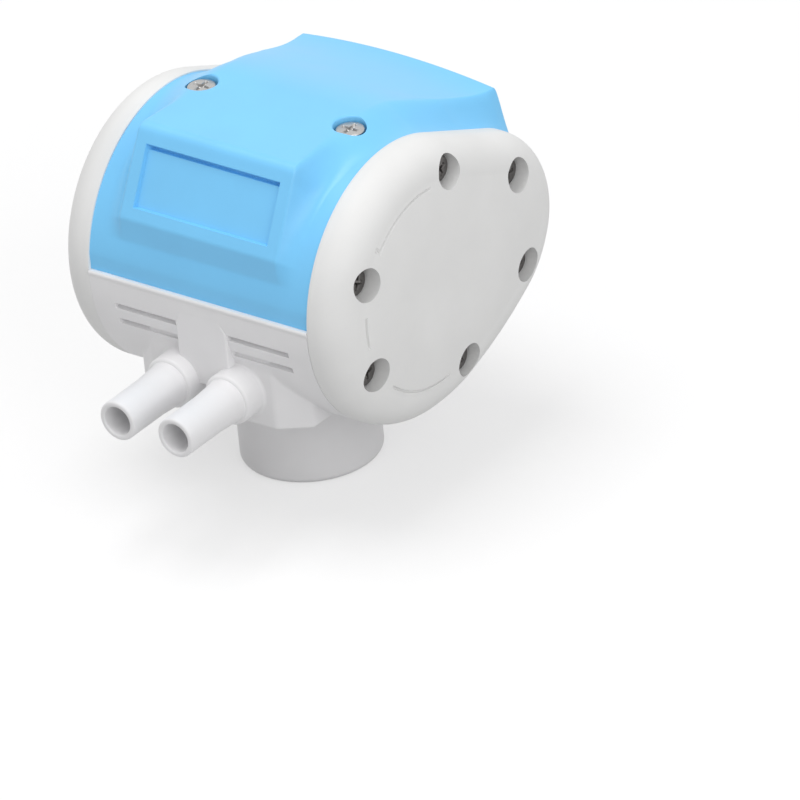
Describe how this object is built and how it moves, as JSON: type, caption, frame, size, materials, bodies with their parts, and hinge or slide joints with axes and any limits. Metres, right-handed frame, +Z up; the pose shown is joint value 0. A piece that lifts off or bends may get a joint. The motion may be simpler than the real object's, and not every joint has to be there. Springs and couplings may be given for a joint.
{
  "type": "milking pulsator",
  "caption": "Pneumatic milking pulsator: egg-shaped barrel with screwed end caps, blue cover over a slide valve, paired pulse nipples and a socket neck.",
  "frame": {"origin": "centre of the neck's foot, on the socket's axis", "axes": "+Z up along the neck, +X towards the right end cap along the diaphragm rod, -Y along the pulse nipples"},
  "size_m": [0.087, 0.1166, 0.093],
  "materials": {
    "body_plastic": "satin moulded, off-white",
    "cap_plastic": "satin moulded, pale grey",
    "cover_plastic": "satin moulded, light blue",
    "plate_plastic": "flat machined face",
    "slide_plastic": "smooth, ivory",
    "steel": "turned stainless",
    "dark_steel": "turned stainless in a deep hole",
    "brass": "turned",
    "rubber": "moulded black",
    "filter_felt": "open felt"
  },
  "bodies": {
    "housing": {"body": "body_plastic", "top_cover": "cover_plastic", "port_gasket": "rubber", "port_plate": "plate_plastic", "main_slide_spring": "steel", "pilot_slide_spring": "steel", "air_filter": "filter_felt", "filter_grid": "plate_plastic", "rate_screw_seal": "rubber", "neck_seal": "rubber", "left_nipple": "body_plastic", "right_nipple": "body_plastic", "left_end_cap": "cap_plastic", "right_end_cap": "cap_plastic", "left_diaphragm": "rubber", "right_diaphragm": "rubber", "left_rod_bush": "brass", "right_rod_bush": "brass", "left_cover_screw": "steel", "right_cover_screw": "steel", "left_cap_screw_1": "dark_steel", "left_cap_screw_2": "dark_steel", "left_cap_screw_3": "dark_steel", "left_cap_screw_4": "dark_steel", "left_cap_screw_5": "dark_steel", "left_cap_screw_6": "dark_steel", "right_cap_screw_1": "dark_steel", "right_cap_screw_2": "dark_steel", "right_cap_screw_3": "dark_steel", "right_cap_screw_4": "dark_steel", "right_cap_screw_5": "dark_steel", "right_cap_screw_6": "dark_steel"},
    "rod": {"diaphragm_rod": "steel", "slide_yoke": "brass", "left_inner_plate": "steel", "right_inner_plate": "steel", "left_outer_plate": "steel", "right_outer_plate": "steel", "left_rod_screw": "steel", "right_rod_screw": "steel"},
    "main_slide": {"main_slide": "slide_plastic"},
    "pilot_slide": {"pilot_slide": "slide_plastic"},
    "rate_screw": {"rate_screw": "steel"}
  },
  "joints": [
    {"name": "rod_stroke", "type": "slide", "parent": "housing", "child": "rod", "axis": [1, 0, 0], "range_m": [-0.004, 0.004], "deforming": ["left_diaphragm", "right_diaphragm"]},
    {"name": "main_slide_travel", "type": "slide", "parent": "housing", "child": "main_slide", "axis": [1, 0, 0], "range_m": [-0.003, 0.003]},
    {"name": "pilot_slide_travel", "type": "slide", "parent": "housing", "child": "pilot_slide", "axis": [1, 0, 0], "range_m": [-0.002, 0.002]},
    {"name": "rate_turn", "type": "hinge", "parent": "housing", "child": "rate_screw", "pos_m": [0, 0.0513, 0.0463], "axis": [0, 1, 0], "range_deg": [-180, 180]}
  ],
  "couplings": [
    {"joint": "main_slide_travel", "follows": "rod_stroke", "ratio": 0.75},
    {"joint": "pilot_slide_travel", "follows": "rod_stroke", "ratio": 0.5}
  ]
}
